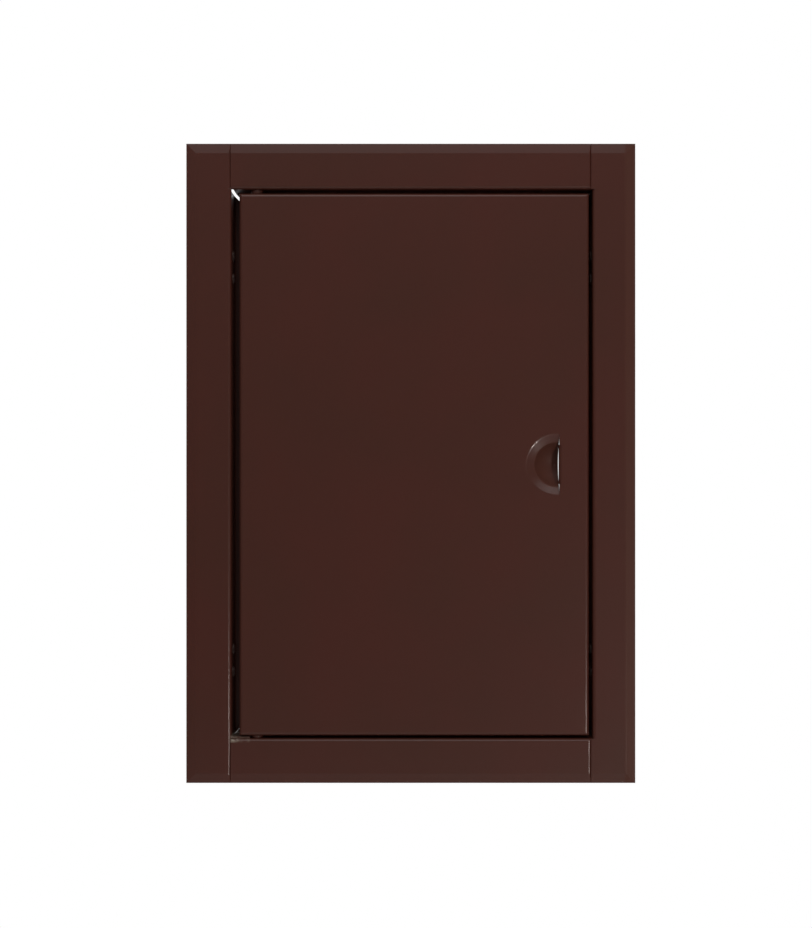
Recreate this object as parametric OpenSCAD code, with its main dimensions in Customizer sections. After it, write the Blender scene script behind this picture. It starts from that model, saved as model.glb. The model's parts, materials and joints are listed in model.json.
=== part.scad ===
// Steel access panel for a wall recess: a flanged frame of four folded rails,
// and a flush door on two pins that is opened by a pressed half-moon finger pull.
// X is to the right, Z is up and Y goes into the wall. The wall's face is y = 0,
// and the origin is on it at the centre of the flange.

/* [Frame] */
// Overall width of the flange
frame_w = 236; // [200:1:320]
// Overall height of the flange
frame_h = 336; // [290:1:460]
// Width of the left flange strip, on the hinge side
strip_left = 23.6; // [20:0.2:30]
// Width of the right flange strip
strip_right = 22.4; // [20:0.2:30]
// Height of the top flange strip
strip_top = 23.8; // [22:0.2:30]
// Height of the bottom flange strip
strip_bottom = 23.3; // [22:0.2:30]
// Thickness of the steel sheet
sheet = 0.8; // [0.6:0.1:1]
// Inside radius of the folds
fold_r = 1; // [0.6:0.1:1.2]
// Width of the ledge folded inwards behind the door
ledge_w = 12; // [11.4:0.2:15]
// Width of the outer margin of the flange, which slopes back to the wall
margin_w = 5; // [3:0.2:6]
// How far the flat of the flange stands off the wall
stand_off = 0.5; // [0.4:0.1:1.2]

/* [Seams and corners] */
// Distance of the left seams outside the opening's edge
seam_left_out = 0.3; // [0.1:0.1:1]
// Distance of the right seams inside the opening's edge
seam_right_in = 0.8; // [0.2:0.1:1.6]
// Radius of the rounding on the sheet edges that face right along the seams
seam_round_r = 1.6; // [1:0.1:1.7]
// Clearance of the mitres and wall ends in the closed corners
corner_gap = 0.05; // [0.05:0.05:0.3]
// Distance of both rails from the upper left corner, where they don't meet
corner_open = 1; // [0.4:0.1:1.4]
// Distance of the foot tab of the left rail behind the fold of the flange
tab_front = 0.2; // [0.1:0.1:1.5]
// Distance between the end of the foot tab and the thrust washer
tab_end_gap = 0.3; // [0.2:0.1:1]
// Length of the plates behind the seams
splice_l = 34; // [24:1:36]
// Height of the plates behind the seams
splice_h = 14; // [8:0.5:14]

/* [Door] */
// Gap between the opening and the door on the hinge side
gap_hinge = 4.2; // [3.6:0.1:6]
// Gap between the opening and the door on the free side
gap_free = 1.9; // [1.2:0.1:3]
// Gap above the door
gap_top = 2.2; // [1.5:0.1:3.5]
// Gap below the door
gap_bottom = 1.5; // [1.2:0.1:2.5]
// Distance of the door's face behind the flange's face
door_setback = 0.3; // [0:0.1:0.8]
// Depth of the door's returns, face included
door_d = 10; // [10:0.5:14]
// Width of the slits between the returns at the door's corners
return_slit = 0.4; // [0.2:0.1:1]

/* [Finger pull] */
// Distance of the pull's straight side from the door's free edge
pull_in = 15.6; // [14:0.2:24]
// How far the pull runs on straight beyond its half circle
pull_run = 1.4; // [0.6:0.2:4]
// Radius of the half-moon where its rim starts
pull_r = 16.6; // [16:0.2:20]
// Radius of the rim's rounding
rim_r = 3; // [2:0.1:4]
// Angle of the outer slope
rim_slope = 20; // [16:1:24]
// Radius of the half-moon at the foot of its outer slope
bowl_edge_r = 11.9; // [11:0.1:13]
// Radius of the crease between the slope and the bowl
crease_r = 1.4; // [1.3:0.1:2]
// Steepest angle of the bowl
bowl_slope = 57; // [48:1:58]
// Length of the lip that is turned in along the slit
lip_l = 20.8; // [16:0.2:21]
// Depth of the lip, face included
lip_d = 2.8; // [2.2:0.1:3.4]
// How far the lip stands out over the end of the bowl
lip_over = 0.2; // [0.1:0.05:0.4]

/* [Hinge] */
// Distance of the hinge axis from the door's left edge
hinge_in = 9; // [8.4:0.1:10]
// Distance of the hinge axis behind the door's face
hinge_back = 5.2; // [4.6:0.1:6.4]
// Room between the door's swinging corner and the ledge
swing_clear = 1.1; // [0.6:0.1:4]
// Radius of the hinge pins
pin_r = 1.6; // [1.2:0.1:2]
// Radius of the heads of the hinge pins
pin_head_r = 3; // [2.6:0.1:4]
// Height of the heads of the hinge pins
pin_head_h = 1.4; // [1:0.1:2]
// Length of the pin beyond the door's return
pin_tail = 2.4; // [1.4:0.1:4]
// Radius of the thrust washers
washer_r = 3.3; // [3:0.1:4]
// Radius of the push-on clips
clip_r = 3.4; // [3:0.1:4]
// Thickness of the push-on clips
clip_t = 0.5; // [0.3:0.1:0.8]

/* [Catch] */
// Distance of the magnets from the door's top and bottom edges
catch_in = 44.4; // [34:0.2:80]
// Radius of the ring magnets
magnet_r = 5; // [4.5:0.1:5.5]
// Room between the magnets and the fold of the ledge
magnet_room = 0.4; // [0.2:0.1:0.6]
// Length of the strike tabs beyond their fold
strike_l = 9; // [6:0.5:9.5]
// Height of the strike tabs
strike_h = 16; // [12:0.5:24]
// Radius of the shank of the magnets' rivets
catch_rivet_r = 1.5; // [1.2:0.1:1.8]
// Radius of the countersunk heads of the magnets' rivets
catch_head_r = 3; // [2.6:0.1:3.4]

/* [Lugs] */
// Distance of the lugs from the top and bottom of the casing
lug_in = 40; // [24:0.5:80]
// Width of the lugs
lug_w = 22; // [18:0.5:30]
// Thickness of the lugs
lug_t = 1.2; // [0.8:0.1:2]
// Distance of the lugs behind the fold of the flange
lug_front_gap = 3; // [2:0.5:4]
// Reach of the lugs behind the casing
lug_reach = 30; // [20:1:60]
// Radius of the fixing holes in the lugs
lug_hole_r = 2.5; // [2:0.1:3.5]
// Distance of the fixing holes from the end of the lugs
lug_hole_in = 11; // [10:0.5:14]
// Depth of the notch in the end of the lugs
lug_notch = 5; // [2:0.5:6]
// Distance of the bend notches of the lugs behind the casing
lug_bend_in = 3; // [2:0.5:6]
// Depth of the bend notches in the sides of the lugs
lug_bend_notch = 1.6; // [1:0.2:3]
// Distance between the two rivets of a lug
rivet_pitch = 12; // [8:0.5:12]
// Radius of the shank of the lugs' rivets
rivet_r = 1.6; // [1.2:0.1:2]
// Radius of the heads of the lugs' rivets
rivet_head_r = 2.8; // [2.4:0.1:3.2]
// Height of the heads of the rivets
rivet_head_h = 0.8; // [0.5:0.1:1]

/* [Fits] */
// Radial clearance of the hinge pins where the door turns on them
pin_fit = 0.05; // [0.02:0.01:0.1]
// Clearance between the door and the lower washer, the clips and the magnets, and
// between the upper washer and the frame
play = 0.1; // [0.05:0.05:0.2]

/* [Hidden] */
$fn = 64;
coat = [0.25, 0.153, 0.129];
zinc = [0.66, 0.67, 0.68];
ferrite = [0.2, 0.2, 0.21];
// Cutting shapes reach this far past what they cut.
past = 1;

// The edges of the opening in the flange, and the flange's face.
fold_o = fold_r + sheet;
open_left = strip_left - frame_w / 2;
open_right = frame_w / 2 - strip_right;
open_top = frame_h / 2 - strip_top;
open_bottom = strip_bottom - frame_h / 2;
flange_y = -(sheet + stand_off);
flange_back = -stand_off;
wall_y = flange_y + fold_o;

// The door in its closed place.
door_left = open_left + gap_hinge;
door_right = open_right - gap_free;
door_top = open_top - gap_top;
door_bottom = open_bottom + gap_bottom;
door_w = door_right - door_left;
door_h = door_top - door_bottom;
door_mid = (door_top + door_bottom) / 2;
door_y = flange_y + door_setback;
door_back = door_y + door_d;

// The hinge axis. The ledge lies just behind the corner that swings past it.
axis_x = door_left + hinge_in;
axis_y = door_y + hinge_back;
ledge_y = axis_y + norm([hinge_in, door_d - hinge_back]) + swing_clear;
casing_back = ledge_y + sheet;

// The half-moon's section, from its rim inwards. The first number is the radius,
// the second the depth behind the door's face, and each piece runs on tangent.
function inward(a) = [sin(a), cos(a)];
rim_c = [pull_r, rim_r];
slope_top = rim_c - rim_r * inward(rim_slope);
slope_foot = [bowl_edge_r, slope_top[1] + (slope_top[0] - bowl_edge_r) * tan(rim_slope)];
crease_c = slope_foot + crease_r * inward(rim_slope);
bowl_top = crease_c - crease_r * inward(bowl_slope);
bowl_r = bowl_top[0] / sin(bowl_slope);
bowl_c = [0, bowl_top[1] - bowl_r * cos(bowl_slope)];
pull_x = door_right - pull_in;
slit_x = pull_x - lip_over;

// The seams, and the plates behind them, which lie on the flat of the flange.
seam_left = open_left - seam_left_out;
seam_right = open_right - seam_right_in;
splice_top_z = (open_top + fold_o + frame_h / 2 - margin_w) / 2;
splice_bottom_z = (open_bottom - fold_o - frame_h / 2 + margin_w) / 2;

// The tab at the foot of the left wall.
tab_from = wall_y + tab_front;
tab_to = axis_y + hinge_back;
tab_end = axis_x - washer_r - tab_end_gap;

// The rounding of a seam's edge runs out at the back of the sheet.
seam_round_w = sqrt(pow(seam_round_r, 2) - pow(seam_round_r - sheet, 2));

// The catch on the right ledge.
magnet_x = open_right - fold_r - magnet_r - magnet_room;
magnet_y = door_back + play;
catch_heights = [door_bottom + catch_in, door_top - catch_in];
catch_head_d = catch_head_r - catch_rivet_r;

// The lugs on the outside of the side walls.
lug_heights = [open_bottom + lug_in, open_top - lug_in];
lug_front = wall_y + lug_front_gap;
lug_end = casing_back + lug_reach;
rivet_y = (lug_front + casing_back) / 2;
lug_chamfer = 2;
lug_bend = casing_back + lug_bend_in;

// Sheet folded through a right angle. Its centre is the origin, and it fills
// the quarter where x and y are negative.
module fold() {
    intersection() {
        difference() {
            circle(fold_o);
            circle(fold_r);
        }
        translate([-fold_o, -fold_o]) square(fold_o);
    }
}

// Sheet bent about a centre, as far as its end lines, which run from the centre
// through the points a and b.
module bent(centre, r, a, b) {
    intersection() {
        translate(centre) difference() {
            circle(r + sheet);
            circle(r);
        }
        polygon([centre, a, b]);
    }
}

// A section of the block behind the flange's face, whose margins lean back. It
// reaches past the flange's edges by more.
module leaning(width, more) {
    half = width / 2;
    back = flange_y + stand_off * (1 + more / margin_w);
    polygon([
        [-half - more, back], [margin_w - half, flange_y],
        [half - margin_w, flange_y], [half + more, back],
        [half + more, casing_back], [-half - more, casing_back]
    ]);
}

module behind_flange(more) {
    intersection() {
        along_z(-frame_h / 2 - more, frame_h / 2 + more) leaning(frame_w, more);
        along_x(-frame_w / 2 - more, frame_w / 2 + more) leaning(frame_h, more);
    }
}

// The flange's sheet over a rectangle in x and z.
module flange_sheet(x0, z0, x1, z1) {
    difference() {
        intersection() {
            behind_flange(0);
            translate([x0, flange_y, z0])
                cube([x1 - x0, casing_back - flange_y, z1 - z0]);
        }
        translate([0, sheet, 0]) behind_flange(past);
    }
}

// What the rounding of a seam's edge takes away from the sheet on its left.
module seam_rounding(x, z0, z1) {
    along_z(z0, z1) difference() {
        translate([x - seam_round_w, flange_y - past]) square([seam_round_w + past, sheet + past]);
        translate([x - seam_round_w, flange_y + seam_round_r]) circle(seam_round_r);
    }
}

// The fold from the flange into the casing wall. In the rail sections x runs
// outwards from the opening's edge, and y is depth.
module front_fold() {
    translate([fold_o, wall_y]) fold();
}

// The back of a rail's section: casing wall, fold and ledge.
module back_section() {
    translate([0, wall_y]) square([sheet, ledge_y - fold_r - wall_y]);
    translate([-fold_r, ledge_y - fold_r]) rotate(180) fold();
    translate([-ledge_w, ledge_y]) square([ledge_w - fold_r, sheet]);
}

// A plan outline in x and z, made as deep as the frame.
module plan_cut() {
    translate([0, casing_back + past, 0]) rotate([90, 0, 0])
        linear_extrude(casing_back - flange_y + 2 * past) children();
}

// A ledge's outline in plan between two mitres, beside the wall that carries it.
module ledge_plan(from, to) {
    deep = ledge_w + past;
    polygon([[from, 0], [to, 0], [to - deep, -deep], [from + deep, -deep]]);
}

module along_x(from, to) {
    translate([to, 0, 0]) rotate([0, -90, 0]) linear_extrude(to - from) children();
}

module along_z(from, to) {
    translate([0, 0, from]) linear_extrude(to - from) children();
}

// An end rail's fold, wall and ledge, with z running outwards from the opening's edge.
module end_casing(wall_from, mitre_from) {
    along_x(seam_left, seam_right) front_fold();
    intersection() {
        along_x(wall_from, open_right + sheet) back_section();
        plan_cut() {
            translate([wall_from, 0])
                square([open_right + sheet - wall_from, sheet + past]);
            ledge_plan(mitre_from, open_right - corner_gap);
        }
    }
}

// A side rail's fold, wall and ledge, with x running outwards from the opening's
// edge. The fold reaches up to the corner, and the wall and ledge as far as top.
module side_casing(top) {
    bottom = open_bottom + corner_gap;
    along_z(bottom, open_top - corner_gap) front_fold();
    intersection() {
        along_z(bottom, top) back_section();
        plan_cut() {
            translate([0, bottom]) square([fold_o, top - bottom]);
            rotate(90) mirror([0, 1]) ledge_plan(bottom, top);
        }
    }
}

// Clears the flange's sheet where a side rail's fold takes its place.
module fold_room(x0, x1) {
    translate([x0, flange_y - past, open_bottom])
        cube([x1 - x0, sheet + 2 * past, open_top - open_bottom]);
}

// The tab at the foot of the left wall, folded in over the bottom rail. It
// stops short of the thrust washer.
module foot_tab() {
    translate([0, tab_to, 0]) rotate([90, 0, 0]) linear_extrude(tab_to - tab_from) {
        translate([open_left - sheet + fold_o, open_bottom + fold_o]) fold();
        translate([open_left - sheet + fold_o, open_bottom])
            square([tab_end - open_left + sheet - fold_o, sheet]);
    }
}

// Holes through a side wall for the rivets of its two lugs.
module rivet_holes() {
    for (z = lug_heights, side = [-1, 1])
        translate([0, rivet_y, z + side * rivet_pitch / 2])
            rotate([0, 90, 0]) cylinder(r = rivet_r, h = 4 * fold_o, center = true);
}

module rail_left() {
    color(coat) {
        difference() {
            union() {
                difference() {
                    flange_sheet(-frame_w / 2, -frame_h / 2, seam_left, frame_h / 2);
                    fold_room(open_left - fold_o, open_left + past);
                    seam_rounding(seam_left, open_top, frame_h / 2 + past);
                    seam_rounding(seam_left, -frame_h / 2 - past, open_bottom);
                }
                translate([open_left, 0, 0]) mirror([1, 0, 0])
                    side_casing(open_top - corner_open);
            }
            translate([open_left, 0, 0]) rivet_holes();
            translate([open_left - sheet - past, tab_from, open_bottom - past])
                cube([sheet + 2 * past, tab_to - tab_from, fold_o + past]);
        }
        foot_tab();
    }
}

module rail_right() {
    color(coat) difference() {
        union() {
            difference() {
                flange_sheet(seam_right, -frame_h / 2, frame_w / 2, frame_h / 2);
                fold_room(seam_right - past, open_right + fold_o);
            }
            translate([open_right, 0, 0]) side_casing(open_top - corner_gap);
        }
        translate([open_right, 0, 0]) rivet_holes();
        for (z = catch_heights)
            translate([magnet_x, ledge_y, z]) rotate([-90, 0, 0])
                cylinder(r = catch_rivet_r, h = 4 * sheet, center = true);
    }
}

// The hole for a hinge pin through an end rail's wall.
module pin_hole(z) {
    translate([axis_x, axis_y, z]) cylinder(r = pin_r, h = 4 * sheet, center = true);
}

module rail_top() {
    color(coat) difference() {
        union() {
            flange_sheet(seam_left, open_top + fold_o, seam_right, frame_h / 2);
            translate([0, 0, open_top])
                end_casing(open_left + corner_open, open_left + corner_open);
        }
        seam_rounding(seam_right, open_top - past, frame_h / 2 + past);
        pin_hole(open_top);
    }
}

module rail_bottom() {
    color(coat) difference() {
        union() {
            flange_sheet(seam_left, -frame_h / 2, seam_right, open_bottom - fold_o);
            translate([0, 0, open_bottom]) mirror([0, 0, 1])
                end_casing(open_left - sheet, open_left + corner_gap);
        }
        seam_rounding(seam_right, -frame_h / 2 - past, open_bottom + past);
        pin_hole(open_bottom);
    }
}

// A flat plate that bridges a seam behind the flange.
module splice(x, z) {
    corner = 2;
    color(coat) translate([x, 0, z]) rotate([90, 0, 0]) linear_extrude(stand_off) {
        square([splice_l - 2 * corner, splice_h], center = true);
        square([splice_l, splice_h - 2 * corner], center = true);
        for (sx = [-1, 1], sz = [-1, 1])
            translate([sx * (splice_l / 2 - corner), sz * (splice_h / 2 - corner)]) circle(corner);
    }
}

// Half the outline of a low domed head, for turning about the y axis.
module dome(r, h) {
    ball = (r * r + h * h) / (2 * h);
    intersection() {
        translate([0, h - ball]) circle(ball);
        square([r, h]);
    }
}

// A set rivet with a domed head at each end. The sheets that it grips lie
// between z = 0 and z = grip.
module rivet(grip) {
    rotate_extrude() {
        square([rivet_r, grip]);
        translate([0, grip]) dome(rivet_head_r, rivet_head_h);
        mirror([0, 1]) dome(rivet_head_r, rivet_head_h);
    }
}

// A headed hinge pin that points down from z = 0, the outside of the wall.
module hinge_pin(length) {
    tip = 0.4;
    color(coat) rotate_extrude() {
        translate([0, -length]) polygon([
            [0, 0], [pin_r - tip, 0], [pin_r, tip], [pin_r, length], [0, length]
        ]);
        dome(pin_head_r, pin_head_h);
    }
}

module hinge_pin_upper() {
    translate([axis_x, axis_y, open_top + sheet]) hinge_pin(2 * sheet + gap_top + pin_tail);
}

module hinge_pin_lower() {
    translate([axis_x, axis_y, open_bottom - sheet]) mirror([0, 0, 1])
        hinge_pin(2 * sheet + gap_bottom + pin_tail);
}

module ring(r, hole, h) {
    difference() {
        cylinder(r = r, h = h);
        translate([0, 0, -past]) cylinder(r = hole, h = h + 2 * past);
    }
}

// The upper washer lies on the door and turns with it. The lower one lies on the
// frame and carries the door.
module hinge_washer_upper() {
    color(coat) translate([axis_x, axis_y, door_top])
        ring(washer_r, pin_r + pin_fit, gap_top - play);
}

module hinge_washer_lower() {
    color(coat) translate([axis_x, axis_y, open_bottom])
        ring(washer_r, pin_r + pin_fit, gap_bottom - play);
}

module hinge_clip_upper() {
    color(zinc) translate([axis_x, axis_y, door_top - sheet - play - clip_t])
        ring(clip_r, pin_r, clip_t);
}

module hinge_clip_lower() {
    color(zinc) translate([axis_x, axis_y, door_bottom + sheet + play])
        ring(clip_r, pin_r, clip_t);
}

// A lug's outline: x is depth into the wall, y runs along the casing.
module lug_outline() {
    half = lug_w / 2;
    difference() {
        polygon([
            [lug_front, lug_chamfer - half], [lug_front + lug_chamfer, -half],
            [lug_end, -half], [lug_end - lug_notch, 0], [lug_end, half],
            [lug_front + lug_chamfer, half], [lug_front, half - lug_chamfer]
        ]);
        translate([lug_end - lug_hole_in, 0]) circle(lug_hole_r);
        for (side = [-1, 1]) {
            translate([rivet_y, side * rivet_pitch / 2]) circle(rivet_r);
            translate([lug_bend, side * half]) rotate(45)
                square(lug_bend_notch * sqrt(2), center = true);
        }
    }
}

module lug(x, z) {
    color(zinc) translate([x, 0, z]) rotate([90, 0, 90])
        linear_extrude(lug_t) lug_outline();
}

// The two rivets of a lug. Side -1 is the left wall and 1 the right wall.
module lug_rivets(side, z) {
    color(zinc) for (step = [-1, 1])
        translate([side < 0 ? open_left : open_right, rivet_y, z + step * rivet_pitch / 2])
            rotate([0, side * 90, 0]) rivet(sheet + lug_t);
}

module catch_magnet(z) {
    thick = ledge_y - magnet_y;
    color(ferrite) translate([magnet_x, magnet_y, z]) rotate([-90, 0, 0]) difference() {
        cylinder(r = magnet_r, h = thick);
        translate([0, 0, -past]) cylinder(r = catch_rivet_r, h = thick + 2 * past);
        cylinder(r1 = catch_head_r, r2 = catch_rivet_r, h = catch_head_d);
    }
}

// Countersunk rivets through the magnets and the ledge.
module catch_rivets() {
    thick = ledge_y - magnet_y;
    color(zinc) for (z = catch_heights)
        translate([magnet_x, magnet_y, z]) rotate([-90, 0, 0]) rotate_extrude() {
            square([catch_rivet_r, thick + sheet]);
            polygon([[0, 0], [catch_head_r, 0], [catch_rivet_r, catch_head_d], [0, catch_head_d]]);
            translate([0, thick + sheet]) dome(rivet_head_r, rivet_head_h);
        }
}

// A pan's outline across one direction, open at the back, rounded in front.
module pan_profile(w, d, r) {
    translate([r, 0]) square([w - 2 * r, d]);
    translate([0, r]) square([w, d - r]);
    for (x = [r, w - r])
        translate([x, r]) circle(r);
}

// The door's outer or inner block, with every front edge rounded.
module pan_block(inset, r, d) {
    intersection() {
        translate([door_left + inset, door_y + inset, door_bottom + inset])
            linear_extrude(door_h - 2 * inset) pan_profile(door_w - 2 * inset, d, r);
        translate([door_right - inset, door_y + inset, door_bottom + inset]) rotate([0, -90, 0])
            linear_extrude(door_w - 2 * inset) pan_profile(door_h - 2 * inset, d, r);
    }
}

// Half the sheet's section through the pull. Neighbouring pieces are cut along
// the same lines, so that they meet without a gap.
module pull_section() {
    reach = 2 * pull_r;
    deep = 2 * door_d;
    rim_cut = rim_c - reach * inward(rim_slope);
    crease_cut = crease_c - reach * inward(rim_slope);
    along = [cos(rim_slope), -sin(rim_slope)];
    bent(rim_c, rim_r - sheet, [pull_r, -reach], rim_cut);
    intersection() {
        polygon([
            slope_foot - along, slope_top + along,
            slope_top + along + sheet * inward(rim_slope),
            slope_foot - along + sheet * inward(rim_slope)
        ]);
        polygon([rim_c, rim_cut, crease_cut, crease_c]);
    }
    bent(crease_c, crease_r - sheet, crease_cut, bowl_c);
    intersection() {
        translate(bowl_c) difference() {
            circle(bowl_r + sheet);
            circle(bowl_r);
        }
        polygon([bowl_c, crease_c, [crease_c[0], deep], [0, deep]]);
    }
}

// The half-moon, pressed in on the left of its straight side.
module half_moon() {
    translate([pull_x - pull_run, door_y, door_mid]) rotate([-90, 0, 0]) rotate([0, 0, 90])
        rotate_extrude(angle = 180) pull_section();
    translate([pull_x - pull_run, door_y, door_mid]) rotate([90, 0, 90])
        linear_extrude(pull_run) mirror([1, 0]) rotate(90) {
            pull_section();
            mirror([1, 0]) pull_section();
        }
}

// The lip turned in along the slit.
module slit_lip() {
    translate([slit_x, door_y, door_mid - lip_l / 2]) linear_extrude(lip_l) {
        translate([fold_o, fold_o]) fold();
        translate([0, fold_o]) square([sheet, lip_d - fold_o]);
    }
}

// A tab turned in from the free return, for a magnet to hold.
module strike_tab() {
    translate([door_right, door_back, -strike_h / 2]) linear_extrude(strike_h) {
        translate([-fold_o, -fold_o]) rotate(180) fold();
        translate([-fold_o - strike_l, -sheet]) square([strike_l, sheet]);
    }
}

module door_leaf() {
    slit_y = door_y + 2 * fold_o;
    color(coat) {
        difference() {
            pan_block(0, fold_o, door_d);
            pan_block(sheet, fold_r, door_d);
            // The half-moon's place, and the strip that becomes the lip.
            intersection() {
                translate([pull_x - pull_run, door_y - past, door_mid]) rotate([-90, 0, 0]) {
                    cylinder(r = pull_r, h = sheet + 2 * past);
                    translate([0, -pull_r, 0]) cube([pull_r, 2 * pull_r, sheet + 2 * past]);
                }
                translate([pull_x - 2 * pull_r, door_y - past, door_mid - pull_r - past])
                    cube([2 * pull_r, sheet + 2 * past, 2 * (pull_r + past)]);
            }
            translate([slit_x - past, door_y - past, door_mid - lip_l / 2])
                cube([past + fold_o, sheet + 2 * past, lip_l]);
            // The slits between the returns.
            for (x = [door_left + sheet, door_right - sheet - return_slit])
                translate([x, slit_y, door_bottom - past])
                    cube([return_slit, door_d, door_h + 2 * past]);
            // The bores for the hinge pins.
            translate([axis_x, axis_y, door_bottom - past])
                cylinder(r = pin_r + pin_fit, h = door_h + 2 * past);
            // The back edge of the free return, where the strike tabs are folded.
            for (z = catch_heights)
                translate([door_right - fold_o, door_back - fold_o, z - strike_h / 2])
                    cube([fold_o + past, fold_o + past, strike_h]);
        }
        half_moon();
        slit_lip();
        for (z = catch_heights)
            translate([0, 0, z]) strike_tab();
    }
}

rail_left();
rail_right();
rail_top();
rail_bottom();
splice(seam_left, splice_top_z);  // splice_top_left
splice(seam_right, splice_top_z);  // splice_top_right
splice(seam_left, splice_bottom_z);  // splice_bottom_left
splice(seam_right, splice_bottom_z);  // splice_bottom_right
hinge_pin_upper();
hinge_pin_lower();
hinge_washer_upper();
hinge_washer_lower();
hinge_clip_upper();
hinge_clip_lower();
lug(open_left - sheet - lug_t, lug_heights[1]);  // lug_upper_left
lug(open_left - sheet - lug_t, lug_heights[0]);  // lug_lower_left
lug(open_right + sheet, lug_heights[1]);  // lug_upper_right
lug(open_right + sheet, lug_heights[0]);  // lug_lower_right
lug_rivets(-1, lug_heights[1]);  // rivets_upper_left
lug_rivets(-1, lug_heights[0]);  // rivets_lower_left
lug_rivets(1, lug_heights[1]);  // rivets_upper_right
lug_rivets(1, lug_heights[0]);  // rivets_lower_right
catch_magnet(catch_heights[1]);  // catch_magnet_upper
catch_magnet(catch_heights[0]);  // catch_magnet_lower
catch_rivets();
door_leaf();
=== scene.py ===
# %% [markdown]
# # A powder-coated steel access panel
#
# The object is a hatch for a wall recess: four folded rails of thin sheet make a flanged
# frame, and a flush door with a pressed half-moon finger pull closes it. Nearly all that
# shows is one satin brown coat on sheet metal, so the likeness depends on three things:
# the light, the gloss of the folded edges, and clean dark gaps. The lesson loads the
# finished construction, sets up the camera, writes the finishes as shader maths, draws the
# small fasteners that the construction keeps plain, and then sets the light.

import json
import math

import bmesh
import bpy
from mathutils import Matrix, Vector


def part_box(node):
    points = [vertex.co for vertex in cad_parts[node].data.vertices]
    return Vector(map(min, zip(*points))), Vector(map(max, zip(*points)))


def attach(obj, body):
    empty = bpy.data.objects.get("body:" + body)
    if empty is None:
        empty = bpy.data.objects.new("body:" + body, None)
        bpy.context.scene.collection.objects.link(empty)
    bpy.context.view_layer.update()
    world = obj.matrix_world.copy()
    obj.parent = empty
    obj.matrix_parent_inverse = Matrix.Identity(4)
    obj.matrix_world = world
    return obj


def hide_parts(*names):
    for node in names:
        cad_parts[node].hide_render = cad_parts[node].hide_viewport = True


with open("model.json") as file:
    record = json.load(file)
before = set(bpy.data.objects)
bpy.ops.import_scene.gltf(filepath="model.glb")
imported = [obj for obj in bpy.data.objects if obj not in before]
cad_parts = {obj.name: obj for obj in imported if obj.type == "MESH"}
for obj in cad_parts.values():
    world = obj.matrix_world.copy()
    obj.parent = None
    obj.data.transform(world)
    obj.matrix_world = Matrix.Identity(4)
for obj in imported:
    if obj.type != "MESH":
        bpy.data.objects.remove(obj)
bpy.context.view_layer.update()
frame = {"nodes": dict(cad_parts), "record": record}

# %% [markdown]
# ## The camera
#
# The panel is seen straight from the front. Such a camera could stand at any distance, with a
# lens to suit, and the flat front would look much the same. The gap behind the finger pull
# would not: a thin bright sliver shows there, because the line of sight passes behind the
# edge of the sheet, and that fits a distance of 0.85 m. The scale of the picture at the
# flange then gives the lens. The camera aims square at the wall, and it stands where the
# middle of the picture falls on the panel.

# %% Place the camera
IMAGE_W, IMAGE_H = 812, 928
PIXELS_PER_METRE = 1903.3
PANEL_CENTRE_PX = (410.8, 463.35)
CAMERA_DISTANCE = 0.85
CAMERA_NEAR = 0.01
SENSOR_MM = 36.0

flange_front_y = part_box("rail_left")[0].y
view_height = IMAGE_H / PIXELS_PER_METRE
camera_x = (IMAGE_W / 2 - PANEL_CENTRE_PX[0]) / PIXELS_PER_METRE
camera_z = (PANEL_CENTRE_PX[1] - IMAGE_H / 2) / PIXELS_PER_METRE

camera_data = bpy.data.cameras.new("camera")
camera_data.sensor_width = SENSOR_MM
camera_data.lens = SENSOR_MM * CAMERA_DISTANCE / view_height
camera_data.clip_start = CAMERA_NEAR
camera = bpy.data.objects.new("camera", camera_data)
camera.location = (camera_x, flange_front_y - CAMERA_DISTANCE, camera_z)
camera.rotation_euler = (math.radians(90), 0, 0)
bpy.context.scene.collection.objects.link(camera)
bpy.context.scene.camera = camera
print("lens", round(camera_data.lens, 1), "mm at", CAMERA_DISTANCE, "m")

# %% [markdown]
# ## Shader maths as Python
#
# A node tree for a finish is mostly arithmetic on patterns. Built by hand in the editor, each
# sum is a node and two links, and soon nobody can read it. So one function adds any node,
# and a small class that wraps a node's output lets Python's own + and * do the rest: an
# expression reads as the formula it is, and it adds its Math nodes by itself.

# %% Adding a node
def add_node(tree, kind, settings=None, sockets=None, output=0):
    """Adds a node: first its settings, then the values or links of its sockets.

    Returns the output that is asked for as a Wire, or None where the node has no output.
    """
    made = tree.nodes.new(kind)
    for name, value in (settings or {}).items():
        setattr(made, name, value)
    for name, value in (sockets or {}).items():
        if isinstance(value, Wire):
            tree.links.new(value.socket, made.inputs[name])
        else:
            made.inputs[name].default_value = value
    return Wire(made.outputs[output]) if len(made.outputs) else None


print("nodes can be added in one line each")

# %% A socket that can be calculated with
class Wire:
    """One output socket. Arithmetic on it adds Math nodes to the socket's own tree."""

    def __init__(self, socket):
        self.socket = socket

    def node(self, kind, settings=None, sockets=None, output=0):
        """Adds any node to the tree that this socket is in."""
        return add_node(self.socket.id_data, kind, settings, sockets, output)

    def math(self, operation, first, second):
        return self.node("ShaderNodeMath", {"operation": operation}, {0: first, 1: second})

    def vector(self, operation, second, output="Vector"):
        return self.node(
            "ShaderNodeVectorMath", {"operation": operation}, {0: self, 1: second}, output
        )

    def __add__(self, other):
        return self.math("ADD", self, other)

    def __radd__(self, other):
        return self.math("ADD", other, self)

    def __sub__(self, other):
        return self.math("SUBTRACT", self, other)

    def __rsub__(self, other):
        return self.math("SUBTRACT", other, self)

    def __mul__(self, other):
        return self.math("MULTIPLY", self, other)

    def __rmul__(self, other):
        return self.math("MULTIPLY", other, self)

    def clamped(self, low, high):
        """0 below low, 1 above high, and a straight ramp between them."""
        return self.node(
            "ShaderNodeMapRange",
            {"clamp": True},
            {"Value": self, "From Min": low, "From Max": high, "To Min": 0.0, "To Max": 1.0},
        )


print("shader maths ready")

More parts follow.
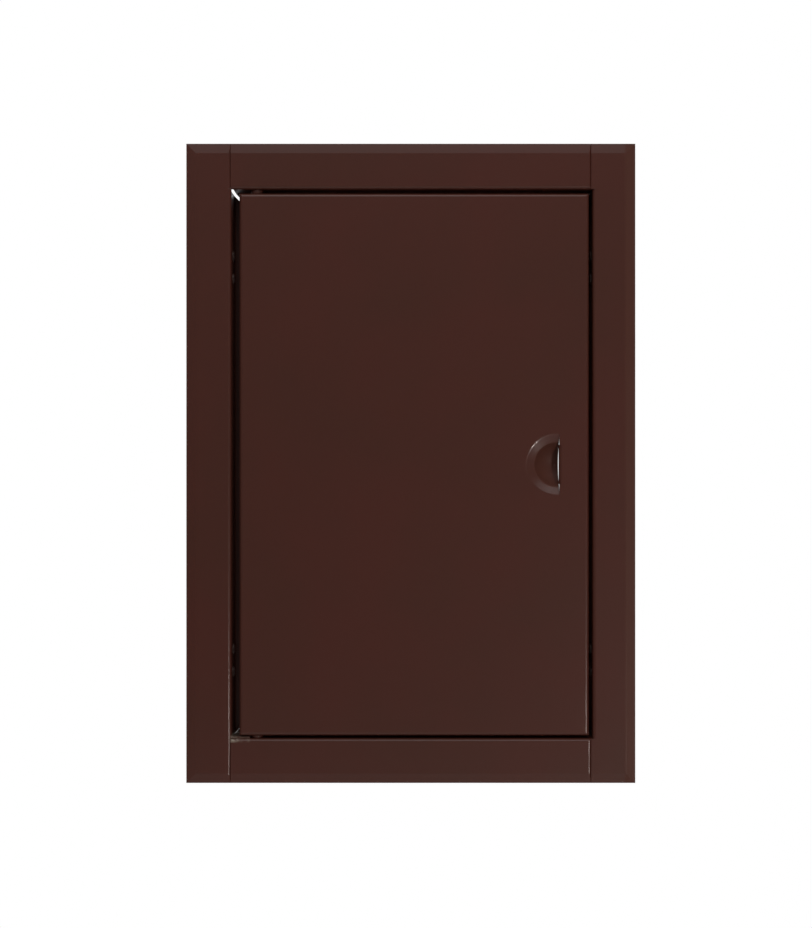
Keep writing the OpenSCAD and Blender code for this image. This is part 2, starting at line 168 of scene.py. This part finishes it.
# %% [markdown]
# ## Patterns
#
# An image could carry the small faults of a finish, but it would need every piece unwrapped,
# and it blurs close up. Noise is worked out at each point, so it does without the unwrapping
# and stays sharp. Every pattern here reads Object coordinates. The pieces have their place in
# their mesh, so those are metres in the panel's own frame, and one pattern runs on across
# neighbouring pieces.

# %% Helpers for patterns
MM = 0.001
EVEN = (1, 1, 1)


def noise(place, feature_mm, detail=2.0, roughness=0.5, stretch=EVEN):
    """Cloudy values from 0 to 1, with features of about the size given.

    stretch scales the place, so a small number draws the pattern out along that axis.
    """
    if stretch != EVEN:
        place = place.node("ShaderNodeMapping", None, {"Vector": place, "Scale": stretch})
    return place.node(
        "ShaderNodeTexNoise",
        None,
        {"Vector": place, "Scale": 1 / (feature_mm * MM), "Detail": detail, "Roughness": roughness},
    )


def along(place, axis):
    """One coordinate of a place: x, y or z."""
    return place.node("ShaderNodeSeparateXYZ", None, {0: place}, output=axis.upper())


def below(value, bound, soft):
    """1 below a bound and 0 above it, with a soft edge."""
    return 1 - value.clamped(bound - soft, bound + soft)


def within(value, low, high, soft=0.4 * MM):
    """1 between two bounds and 0 beyond them, with a soft edge."""
    return value.clamped(low - soft, low + soft) * below(value, high, soft)


print("pattern helpers ready")

# %% [markdown]
# ## From patterns to a finish
#
# A finish is one Principled shader. Its colours could be written as the linear numbers that a
# shader takes, but those are hard to judge against a picture. So they are written as they
# look on screen, and a function turns them. Only what really varies is linked. Numbers that
# are the same all over go straight on the shader's own sockets, because an exported model
# keeps them there.

# %% Helpers for finishes
MIX_FACTOR, MIX_FIRST, MIX_SECOND, MIX_RESULT = 0, 6, 7, 2  # the Mix node's colour sockets


def linear(red, green, blue):
    """A colour as seen on screen, from 0 to 255, as the linear colour that a shader takes."""
    def one(value):
        share = value / 255
        return share / 12.92 if share <= 0.04045 else ((share + 0.055) / 1.055) ** 2.4

    return (one(red), one(green), one(blue), 1.0)


def begin_finish(name):
    """Returns a new material, its Principled shader and a Wire of its Object coordinates."""
    material = bpy.data.materials.new(name)
    material.use_nodes = True
    shader = material.node_tree.nodes["Principled BSDF"]
    place = add_node(material.node_tree, "ShaderNodeTexCoord", output="Object")
    return material, shader, place


def mix_colour(factor, first, second):
    """The first colour where the factor is 0, and the second where it is 1."""
    return factor.node(
        "ShaderNodeMix",
        {"data_type": "RGBA"},
        {MIX_FACTOR: factor, MIX_FIRST: first, MIX_SECOND: second},
        MIX_RESULT,
    )


def bump(height, depth_mm):
    """A Normal that tilts as if the surface rose by depth_mm from height 0 to height 1."""
    return height.node(
        "ShaderNodeBump",
        None,
        {"Height": height, "Distance": depth_mm * MM, "Strength": 1.0},
    )


def feed(shader, **sockets):
    """Links varying values to a shader's sockets, and sets plain numbers and colours on them."""
    for name, value in sockets.items():
        socket = shader.inputs[name.replace("_", " ")]
        if isinstance(value, Wire):
            socket.id_data.links.new(value.socket, socket)
        else:
            socket.default_value = value


print("finish helpers ready, mid grey is", round(linear(128, 128, 128)[0], 3), "to a shader")

# %% [markdown]
# ## Where the coat has little sheen
#
# The flange's right margin and the floor of the pressed bowl are duller than the rest of the
# front, and a greyer brown is painted there as haze of reflected light in place of the gloss.
# A mask for them could be painted by hand, but both places are simple shapes. The margin is
# all that lies beyond an upright line near the flange's edge. The bowl is a part of a ball
# that runs on straight to the pull's open end. So both are measured from the pieces' own
# edges, which keeps them in place.

# %% Masks of the dull places
MARGIN_FADE = (6.2 * MM, 4.6 * MM)
BOWL_FROM_HINGE_SIDE = 166.9 * MM
BOWL_IN_FRONT = 5.2 * MM
BOWL_EDGE_R = 12.2 * MM
BOWL_SHEET_R = 13.8 * MM
BOWL_RUN = 1.0 * MM

flange_edge_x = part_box("rail_right")[1].x
door_low, door_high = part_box("door_leaf")
bowl_centre = (
    door_low.x + BOWL_FROM_HINGE_SIDE,
    door_low.y - BOWL_IN_FRONT,
    (door_low.z + door_high.z) / 2,
)


def on_the_margin(place):
    """1 on the flange's right margin, fading in over a short way."""
    start, full = MARGIN_FADE
    return along(place, "x").clamped(flange_edge_x - start, flange_edge_x - full)


def in_the_bowl(place):
    """1 on the front of the finger pull's spherical bowl, which runs on straight to its end."""
    # Right of the centre, x counts as 0: the ball's section there runs on straight.
    offset = place.vector("SUBTRACT", bowl_centre).vector("MINIMUM", (0, 1, 1))
    from_centre = offset.vector("DISTANCE", (0, 0, 0), "Value")
    from_axis = offset.vector("MULTIPLY", (1, 0, 1)).vector("DISTANCE", (0, 0, 0), "Value")
    inside = below(from_axis, BOWL_EDGE_R, soft=0.3 * MM)
    inside = inside * below(from_centre, BOWL_SHEET_R, soft=0.1 * MM)
    return inside * below(along(place, "x"), bowl_centre[0] + BOWL_RUN, soft=0.2 * MM)


print("the bowl is part of a ball round", [round(v, 4) for v in bowl_centre])

# %% [markdown]
# ## A painted highlight at the corner
#
# At the lower left corner of the opening, below the door's lower corner on its hinge side, a
# light patch is painted on the coat: a painted highlight for the light that the edge there
# catches from above. A soft-edged patch that fades to the right, broken up by fine noise, is
# enough.

# %% Mask of the painted highlight
# Ranges of x and z, counted from the door's lower corner on its hinge side.
HIGHLIGHT_X = (-4.8 * MM, 5.6 * MM)
HIGHLIGHT_Z = (-3.4 * MM, 0.2 * MM)
HIGHLIGHT_FADE_X = (-3.3 * MM, 0.7 * MM)
HIGHLIGHT_FADED_SHARE = 0.75


def painted_highlight_patch(place):
    """1 where a light tone is painted as a highlight at the opening's lower left corner."""
    x, z = along(place, "x"), along(place, "z")
    left, right = (door_low.x + offset for offset in HIGHLIGHT_X)
    bottom, top = (door_low.z + offset for offset in HIGHLIGHT_Z)
    fade_from, fade_to = (door_low.x + offset for offset in HIGHLIGHT_FADE_X)
    patch = within(x, left, right) * within(z, bottom, top)
    patch = patch * (1 - HIGHLIGHT_FADED_SHARE * x.clamped(fade_from, fade_to))
    return patch * noise(place, feature_mm=1.4, detail=4).clamped(0.36, 0.66)


# The painted highlight's width.
print("the scuff is", round((HIGHLIGHT_X[1] - HIGHLIGHT_X[0]) / MM, 1), "mm wide")

# %% [markdown]
# ## The brown coat
#
# Powder coat is a thick, even film with a fine orange peel, and it rounds off every edge. Its
# satin gloss shows only on the folds, where the surface turns through every direction and so
# finds the lights. One glossy shader would also veil the flat front, so the base hardly
# mirrors anything, and a separate clear layer gives the gloss. The colour varies little: a
# slow cloud of slightly redder brown and a few specks of dust are enough. In the duller places
# the clear layer is thin, and a greyer brown is painted in as haze of reflected light instead.

# %% The brown coat
COAT = linear(57.5, 29.5, 22)
COAT_RED = linear(60.5, 29, 22)
COAT_DUST = linear(104, 84, 74)
# painted haze: a greyer brown for the sheen of reflected light where the clear layer is thin
COAT_PAINTED_HAZE = linear(64, 37, 30)
# painted highlight: the light tone of the patch at the opening's lower left corner
COAT_PAINTED_HIGHLIGHT = linear(116, 108, 96)
COAT_GLOSS = 0.34
COAT_GLOSS_ROUGHNESS = 0.19
COAT_BASE_MIRROR = 0.08
PEEL_DEPTH_MM = 0.006


def make_coat():
    material, shader, place = begin_finish("brown_powder_coat")
    cloud = noise(place, feature_mm=60, detail=3)
    peel = noise(place, feature_mm=1.3, detail=1)
    speck = noise(place, feature_mm=0.5, detail=2, roughness=0.7).clamped(0.70, 0.80)
    rubbed = noise(place, feature_mm=22, detail=4, roughness=0.65).clamped(0.56, 0.74)
    # The duller places get a thin clear layer, and their greyer brown is painted haze in its stead.
    dull_with_painted_haze = on_the_margin(place) + in_the_bowl(place)
    tone = mix_colour(cloud.clamped(0.35, 0.65), COAT, COAT_RED)
    # painted haze of greyer brown on the margin and in the bowl
    tone = mix_colour(dull_with_painted_haze, tone, COAT_PAINTED_HAZE)
    tone = mix_colour(0.5 * speck * rubbed, tone, COAT_DUST)
    feed(
        shader,
        # a painted highlight at the opening's lower left corner
        Base_Color=mix_colour(painted_highlight_patch(place), tone, COAT_PAINTED_HIGHLIGHT),
        Roughness=0.46 + 0.05 * cloud + 0.06 * rubbed,
        Specular_IOR_Level=COAT_BASE_MIRROR,
        Coat_Weight=COAT_GLOSS * (1 - dull_with_painted_haze),
        Coat_Roughness=COAT_GLOSS_ROUGHNESS,
        Normal=bump(peel, PEEL_DEPTH_MM),
    )
    return material


coat = make_coat()
print(coat.name, "has", len(coat.node_tree.nodes), "nodes")

# %% [markdown]
# ## Zinc plate
#
# Clips, lugs and rivets are steel with a thin bright zinc plate. A plain grey metal would do
# from afar, but real plate is a soft metal: silvery, a little cloudy, with fine draw lines
# and, here and there, the dull bloom of white rust beginning. The draw lines are noise that
# is stretched in one direction. Bloom is no metal, so it also lowers Metallic. Some pieces
# have paint on a part of the plate, so the function takes a mask for it.

# %% The zinc plate
ZINC = linear(186, 189, 192)
ZINC_WARM = linear(190, 184, 168)
ZINC_BLOOM = linear(206, 207, 205)
DRAW_LINES = (1, 0.08, 1)
DRAW_LINE_DEPTH_MM = 0.004


def make_zinc(name, painted=None):
    """Zinc plate. painted makes, from the place, a mask of where the brown coat covers it."""
    material, shader, place = begin_finish(name)
    cloud = noise(place, feature_mm=9, detail=3)
    grain = noise(place, feature_mm=0.35, detail=2, stretch=DRAW_LINES)
    bloom = noise(place, feature_mm=5, detail=5, roughness=0.7).clamped(0.58, 0.72)
    colour = mix_colour(cloud.clamped(0.3, 0.7), ZINC, ZINC_WARM)
    colour = mix_colour(bloom, colour, ZINC_BLOOM)
    metal = 1 - 0.6 * bloom
    if painted:
        mask = painted(place)
        colour = mix_colour(mask, colour, COAT)
        metal = metal * (1 - mask)
    feed(
        shader,
        Base_Color=colour,
        Metallic=metal,
        Roughness=0.28 + 0.12 * grain + 0.25 * bloom,
        Normal=bump(grain, DRAW_LINE_DEPTH_MM),
    )
    return material


zinc = make_zinc("zinc_plate")
print(zinc.name, "has", len(zinc.node_tree.nodes), "nodes")

# %% [markdown]
# ## Sintered ferrite
#
# The catch is two ring magnets of pressed and fired ferrite, a dark grey ceramic. It is matt,
# faintly grainy, and rubbed a little lighter where the door's tabs touch it. Its roughness
# and its relief could have a noise each. They share one, because in the real material both
# come from the same grains.

# %% The ferrite
FERRITE = linear(46, 46, 49)
FERRITE_RUBBED = linear(84, 84, 88)
GRAIN_DEPTH_MM = 0.01


def make_ferrite():
    material, shader, place = begin_finish("sintered_ferrite")
    grain = noise(place, feature_mm=0.4, detail=3, roughness=0.7)
    rubbed = noise(place, feature_mm=3, detail=4).clamped(0.5, 0.7)
    feed(
        shader,
        Base_Color=mix_colour(0.6 * rubbed, FERRITE, FERRITE_RUBBED),
        Roughness=0.55 + 0.2 * grain,
        Normal=bump(grain, GRAIN_DEPTH_MM),
    )
    return material


ferrite = make_ferrite()
print(ferrite.name, "has", len(ferrite.node_tree.nodes), "nodes")

# %% [markdown]
# ## Dressing the construction
#
# Rails, splices, lugs, pins and the door are complete as they were constructed, so their
# meshes stay and only get a finish. Naming a material for each piece here could go wrong
# whenever a piece is added. The record of the construction already says which finish each
# piece has, so the pieces find their material by that slot.

# %% Give each piece its finish
FINISH = {"coat": coat, "zinc": zinc, "ferrite": ferrite}
slot_of = {row["node"]: row["material_slot"] for row in frame["record"]["subparts"]}


def dress(thing, material):
    thing.data.materials.clear()
    thing.data.materials.append(material)


for name, thing in frame["nodes"].items():
    dress(thing, FINISH[slot_of[name]])
print("dressed", len(frame["nodes"]), "pieces")

# %% [markdown]
# ## Turned parts
#
# Rivets, washers and magnets are all turned shapes, and the construction keeps them plain.
# Here they get what a close look shows: rounded edges, the stub of a blind rivet's mandrel,
# a chamfer where a magnet would chip. Cylinders joined by Booleans could give some of that,
# but an outline in radius and height, spun once around its axis, gives all of it in a clean
# mesh. An outline that starts and ends on the axis closes by itself, and a ring's outline is
# closed before the spin.

# %% Spinning an outline
SPIN_STEPS = 48
AXES = {
    "x": (Vector((0, 0, 1)), Vector((1, 0, 0))),
    "y": (Vector((1, 0, 0)), Vector((0, 1, 0))),
    "z": (Vector((1, 0, 0)), Vector((0, 0, 1))),
}


def turned(mesh, outline, origin, axis, direction=1, steps=SPIN_STEPS):
    """Spins an outline in millimetres, radius and height, around an axis through origin."""
    across, upwards = AXES[axis]
    upwards = upwards * direction
    points = [origin + (across * radius + upwards * height) * MM for radius, height in outline]
    verts = [mesh.verts.new(point) for point in points]
    pairs = list(zip(verts, verts[1:]))
    if outline[0][0] > 0:
        pairs.append((verts[-1], verts[0]))
    edges = [mesh.edges.new(pair) for pair in pairs]
    bmesh.ops.spin(
        mesh,
        geom=verts + edges,
        cent=origin,
        axis=upwards,
        dvec=(0, 0, 0),
        angle=math.tau,
        steps=steps,
        use_merge=True,
    )


print("outlines are spun in", SPIN_STEPS, "steps")

# %% [markdown]
# ## In place of a plain piece
#
# A detailed piece could be laid over its plain stand-in, but then faces of both would show
# in patches. So it replaces the stand-in, and it is drawn in the same place, measured from
# that piece's own box. It also takes the stand-in's body, to move with it.
# Edges sharper than 35 degrees stay crisp, and the rest is shaded smooth.

# %% Helpers for replacing a piece
SHARP_EDGE = math.radians(35)
MERGE_DISTANCE = 1e-7
body_of = {
    node: body
    for body, nodes in frame["record"]["behaviour"]["bodies"].items()
    for node in nodes
}


def corners_and_middle(node):
    """The low and the high corner of a piece's box, and its middle."""
    low, high = (Vector(corner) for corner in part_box(node))
    return low, high, (low + high) / 2


def finish_piece(name, mesh, node, material):
    """Makes an object of a mesh that replaces a CAD node, on its body, with the given material."""
    bmesh.ops.remove_doubles(mesh, verts=mesh.verts, dist=MERGE_DISTANCE)
    bmesh.ops.recalc_face_normals(mesh, faces=mesh.faces)
    data = bpy.data.meshes.new(name)
    mesh.to_mesh(data)
    mesh.free()
    data.shade_smooth()
    data.set_sharp_from_angle(angle=SHARP_EDGE)
    piece = bpy.data.objects.new(name, data)
    bpy.context.scene.collection.objects.link(piece)
    dress(piece, material)
    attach(piece, body_of[node])
    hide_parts(node)
    print(name, "has", len(data.polygons), "faces")


# %% [markdown]
# ## Painted rivet heads
#
# The lugs' rivets have their inner heads in the frame's colour, so that they don't show as
# bright dots in the gap beside the door. The paint could be a piece of its own, but a mask in
# the zinc finish is simpler: everything within a head's height of the heads' tops is painted.

# %% Zinc with painted heads
RIVET_HEAD_H = 0.8
HEAD_SOFT = 0.1 * MM


def inner_heads(place):
    """Where the rivets' heads are in sight, on the inner faces of the side walls."""
    x = along(place, "x")
    reach = RIVET_HEAD_H * MM
    left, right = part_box("rivets_upper_left")[1].x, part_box("rivets_upper_right")[0].x
    on_left = within(x, left - reach, left + reach, HEAD_SOFT)
    on_right = within(x, right - reach, right + reach, HEAD_SOFT)
    return on_left + on_right


painted_zinc = make_zinc("painted_rivets", inner_heads)
print(painted_zinc.name, "has", len(painted_zinc.node_tree.nodes), "nodes")

# %% [markdown]
# ## The lugs' rivets
#
# Each fixing lug is held by two blind rivets. The factory head is in the opening's wall,
# with the broken mandrel sunk in its middle, and the gun has pulled the other end into a
# bulb on the lug. Head, shank and bulb could be three shapes. They are one outline, so that
# nothing has to be joined. Heights count from the top of the factory head, and the bulb's
# from the rivet's far end.

# %% Blind rivets
RIVET_HEAD_R = 2.8
RIVET_SHANK_R = 1.6
FACTORY_HEAD = [
    (0, 0.30), (0.60, 0.36), (0.75, 0.50), (0.75, 0.95), (1.05, 0.95), (1.05, 0.10),
    (1.20, 0.02), (1.70, 0.06), (2.20, 0.20), (2.60, 0.40), (RIVET_HEAD_R, 0.60),
    (RIVET_HEAD_R, RIVET_HEAD_H), (RIVET_SHANK_R, RIVET_HEAD_H),
]
BULB = [
    (RIVET_SHANK_R, -0.80), (2.45, -0.80), (2.65, -0.58), (2.50, -0.28), (1.95, -0.10),
    (1.10, -0.04), (0.90, 0), (0, 0),
]


def blind_rivets(node):
    low, high, middle = corners_and_middle(node)
    top_x, outwards = (high.x, -1) if middle.x < 0 else (low.x, 1)
    length = (high.x - low.x) / MM
    outline = FACTORY_HEAD + [(radius, length + height) for radius, height in BULB]
    mesh = bmesh.new()
    for z in (low.z + RIVET_HEAD_R * MM, high.z - RIVET_HEAD_R * MM):
        turned(mesh, outline, Vector((top_x, middle.y, z)), "x", outwards)
    finish_piece("blind_" + node, mesh, node, painted_zinc)


for name in frame["nodes"]:
    if name.startswith("rivets_"):
        blind_rivets(name)

# %% [markdown]
# ## The catch's magnets
#
# A ring magnet has a chamfer all round, because a sharp edge of ferrite breaks off, and a
# countersink for its rivet. A Bevel modifier would round the countersink's edges as well, so
# the chamfers are points of the outline instead.

# %% Ring magnets
MAGNET_CHAMFER = 0.4
CATCH_HEAD_R = 3.0
CATCH_HEAD_D = 1.5
CATCH_SHANK_R = 1.5


def ring_magnet(node):
    low, high, middle = corners_and_middle(node)
    radius, depth = (high.x - low.x) / 2 / MM, (high.y - low.y) / MM
    outline = [
        (CATCH_HEAD_R, 0), (radius - MAGNET_CHAMFER, 0), (radius, MAGNET_CHAMFER),
        (radius, depth - MAGNET_CHAMFER), (radius - MAGNET_CHAMFER, depth),
        (CATCH_SHANK_R, depth), (CATCH_SHANK_R, CATCH_HEAD_D),
    ]
    mesh = bmesh.new()
    turned(mesh, outline, Vector((middle.x, low.y, middle.z)), "y")
    finish_piece("ring_" + node, mesh, node, ferrite)


for name in ("catch_magnet_upper", "catch_magnet_lower"):
    ring_magnet(name)

# %% [markdown]
# ## The catch's rivets
#
# Each magnet's rivet is set from behind the ledge. Its head is pressed just level with the
# magnet's face, with a small dimple from the punch, and behind the ledge it ends in a low
# round head. As with the blind rivets, one outline holds it all, and the round head's
# heights count from the ledge's back.

# %% Countersunk rivets
COUNTERSUNK_HEAD = [
    (0, 0.28), (0.70, 0.22), (1.10, 0.04), (2.75, 0), (2.92, 0.08),
    (CATCH_SHANK_R, CATCH_HEAD_D),
]
ROUND_HEAD = [
    (CATCH_SHANK_R, 0), (RIVET_HEAD_R, 0), (RIVET_HEAD_R, 0.20), (2.55, 0.48), (2.00, 0.68),
    (1.20, 0.78), (0, RIVET_HEAD_H),
]


def countersunk_rivets(node):
    low, high, middle = corners_and_middle(node)
    grip = (high.y - low.y) / MM - RIVET_HEAD_H
    outline = COUNTERSUNK_HEAD + [(radius, grip + height) for radius, height in ROUND_HEAD]
    mesh = bmesh.new()
    for z in (low.z + CATCH_HEAD_R * MM, high.z - CATCH_HEAD_R * MM):
        turned(mesh, outline, Vector((middle.x, low.y, z)), "y")
    finish_piece("countersunk_" + node, mesh, node, zinc)


countersunk_rivets("catch_rivets")

# %% [markdown]
# ## The hinges' washers
#
# The thrust washers are blanked from thick sheet, so their edges are slightly rounded, and
# they are coated with the frame. Bevelling a ring's edges would do as well. With the outline
# in hand, one extra point at each outer corner does it without another operation, and the
# inner corners, which the pin hides, get a plain chamfer.

# %% Thrust washers
WASHER_ROUND = 0.22
WASHER_CORNER = 0.3 * WASHER_ROUND
PIN_R = 1.6
PIN_FIT = 0.05


def thrust_washer(node):
    low, high, middle = corners_and_middle(node)
    outer, inner = (high.x - low.x) / 2 / MM, PIN_R + PIN_FIT
    top, edge, corner = (high.z - low.z) / MM, WASHER_ROUND, WASHER_CORNER
    outline = [
        (inner, edge), (inner + edge, 0), (outer - edge, 0), (outer - corner, corner),
        (outer, edge), (outer, top - edge), (outer - corner, top - corner),
        (outer - edge, top), (inner + edge, top), (inner, top - edge),
    ]
    mesh = bmesh.new()
    turned(mesh, outline, Vector((middle.x, middle.y, low.z)), "z")
    finish_piece("rounded_" + node, mesh, node, coat)


for name in ("hinge_washer_upper", "hinge_washer_lower"):
    thrust_washer(name)

# %% [markdown]
# ## The hinges' clips
#
# A push-on clip is thin spring steel with six teeth. They bend away from the sheet as the
# clip is pushed over the tail of the pin, and so grip it. Cutting gaps into a disc and then
# bending the teeth would take many steps. It is simpler to spin the section of a bent tooth
# all the way round, and then to push the rim between the teeth outwards and flat again.

# %% Push-on clips
CLIP_STEPS = 72
CLIP_TEETH = 6
TOOTH_SHARE = 0.62
TOOTH_BEND = 0.2
ROOT_BEND = 0.02
TOOTH_ROOT_R = 2.35
TOOTH_FOLD_R = TOOTH_ROOT_R + 0.15


def between_teeth(offset):
    """Whether a vertex, seen from the clip's middle, is on the rim between two teeth."""
    step = round(math.atan2(offset.y, offset.x) / math.tau * CLIP_STEPS) % CLIP_STEPS
    on_tooth = (step * CLIP_TEETH / CLIP_STEPS) % 1 < TOOTH_SHARE
    return not on_tooth and offset.xy.length < TOOTH_ROOT_R * MM


def push_on_clip(node, direction):
    """A toothed ring. direction is 1 where the teeth bend up and -1 where they bend down."""
    low, high, middle = corners_and_middle(node)
    outer, thickness = (high.x - low.x) / 2 / MM, (high.z - low.z) / MM - TOOTH_BEND
    seat = Vector((middle.x, middle.y, low.z if direction > 0 else high.z))
    outline = [
        (PIN_R, TOOTH_BEND), (TOOTH_FOLD_R, 0), (outer, 0), (outer, thickness),
        (TOOTH_FOLD_R, thickness), (PIN_R, TOOTH_BEND + thickness),
    ]
    mesh = bmesh.new()
    turned(mesh, outline, seat, "z", direction, CLIP_STEPS)
    rim = [vert for vert in mesh.verts if between_teeth(vert.co - seat)]
    widen, flatten = TOOTH_ROOT_R / PIN_R, direction * (ROOT_BEND - TOOTH_BEND) * MM
    bmesh.ops.scale(mesh, vec=(widen, widen, 1), space=Matrix.Translation(-seat), verts=rim)
    bmesh.ops.translate(mesh, vec=(0, 0, flatten), verts=rim)
    finish_piece("toothed_" + node, mesh, node, zinc)


for name, direction in (("hinge_clip_upper", -1), ("hinge_clip_lower", 1)):
    push_on_clip(name, direction)

# %% [markdown]
# ## The lamps
#
# An even dome of light would be the simplest, but the folds of a dark coat hardly show in it.
# In the picture the folds tell where the light was. The rim of the finger pull has one hot
# spot at its upper left, which faces down to the right, and the folds that turn to the right
# are bright low down. So a small lamp stands low on the right. The lower slope of the pull is
# lighter than the door, and so are the upper folds: a long strip hangs above. Two large weak
# boxes, high and low, fill the rest, and one lamp behind serves the views of the back.
# Nothing bright stands beside the camera, or the flat front would mirror it and look milky.

# %% Lamps
WARM = (1.0, 0.90, 0.85)
WHITE = (1.0, 1.0, 1.0)


def soft_box(name, place, width, height, watts, colour=WHITE):
    """A rectangular lamp at a place, turned to face the panel's middle."""
    lamp = bpy.data.lights.new(name, "AREA")
    lamp.color = colour
    lamp.shape = "RECTANGLE"
    lamp.size = width
    lamp.size_y = height
    lamp.energy = watts
    thing = bpy.data.objects.new(name, lamp)
    aim = (-Vector(place)).to_track_quat("-Z", "Y")
    thing.matrix_world = Matrix.Translation(place) @ aim.to_matrix().to_4x4()
    bpy.context.scene.collection.objects.link(thing)
    print(name, "gives", watts, "W from", place)


soft_box("lamp_low", (0.56, -0.94, -0.33), width=0.1, height=0.1, watts=4.1, colour=WARM)
soft_box("lamp_above", (-0.20, -0.36, 0.72), width=1.6, height=0.3, watts=3.4)
soft_box("lamp_high", (0.10, -1.00, 1.00), width=2.4, height=0.9, watts=10.6)
soft_box("lamp_floor", (0.35, -1.20, -0.95), width=2.0, height=0.8, watts=6.2)
soft_box("lamp_behind", (-0.40, 1.10, 0.70), width=1.0, height=0.8, watts=10)

# %% [markdown]
# ## The world
#
# The ground of the picture is pure white. A white wall behind the panel would have to be lit
# as brightly as that, and it would light the panel's edges too. So the white ground is the
# world itself, and only the camera and the mirror images of what lies behind the panel see it
# white. For all other light the world is a dim, even grey.

# %% World
WORLD_LEVEL = 0.20
MIRRORED_WHITE = 0.3
BEHIND_FADE = (0.1, 0.4)


def ray(tree, kind):
    """1 for light of one kind, such as what the camera sees directly, and 0 for the rest."""
    return add_node(tree, "ShaderNodeLightPath", output="Is " + kind + " Ray")


def make_world():
    world = bpy.data.worlds.new("studio")
    world.use_nodes = True
    tree = world.node_tree
    tree.nodes.clear()
    direction = add_node(tree, "ShaderNodeTexCoord", output="Generated")
    behind = along(direction, "y").clamped(*BEHIND_FADE)
    white = ray(tree, "Camera") + ray(tree, "Transmission")
    white = white + MIRRORED_WHITE * ray(tree, "Glossy") * behind
    level = white.clamped(0.0, 1.0) * (1 - WORLD_LEVEL) + WORLD_LEVEL
    ground = level.node("ShaderNodeBackground", None, {"Color": (1, 1, 1, 1), "Strength": level})
    ground.node("ShaderNodeOutputWorld", None, {"Surface": ground})
    return world


bpy.context.scene.world = make_world()
bpy.context.scene.view_settings.view_transform = "Standard"
print("world level", WORLD_LEVEL)

# %% [markdown]
# ## The floor
#
# The panel belongs in a wall, so nothing touches the floor. It could be left out for the front
# view, but other views need something to stand over. It lies below the picture, pale and
# matt, and its material has only a slow cloud in its roughness, so that nothing in it draws
# the eye.

# %% The floor
FLOOR_Y = -0.40
FLOOR_Z = -0.40
FLOOR_HALF = 0.9
FLOOR_WHITE = linear(236, 235, 232)


def make_floor():
    mesh = bmesh.new()
    bmesh.ops.create_grid(mesh, x_segments=1, y_segments=1, size=FLOOR_HALF)
    bmesh.ops.translate(mesh, vec=(0, FLOOR_Y, FLOOR_Z), verts=mesh.verts)
    data = bpy.data.meshes.new("floor")
    mesh.to_mesh(data)
    mesh.free()
    floor = bpy.data.objects.new("floor", data)
    bpy.context.scene.collection.objects.link(floor)
    material, shader, place = begin_finish("pale_floor")
    cloud = noise(place, feature_mm=120)
    feed(shader, Base_Color=FLOOR_WHITE, Roughness=0.75 + 0.1 * cloud)
    dress(floor, material)
    return floor


floor = make_floor()
print(floor.name, "at", FLOOR_Z)
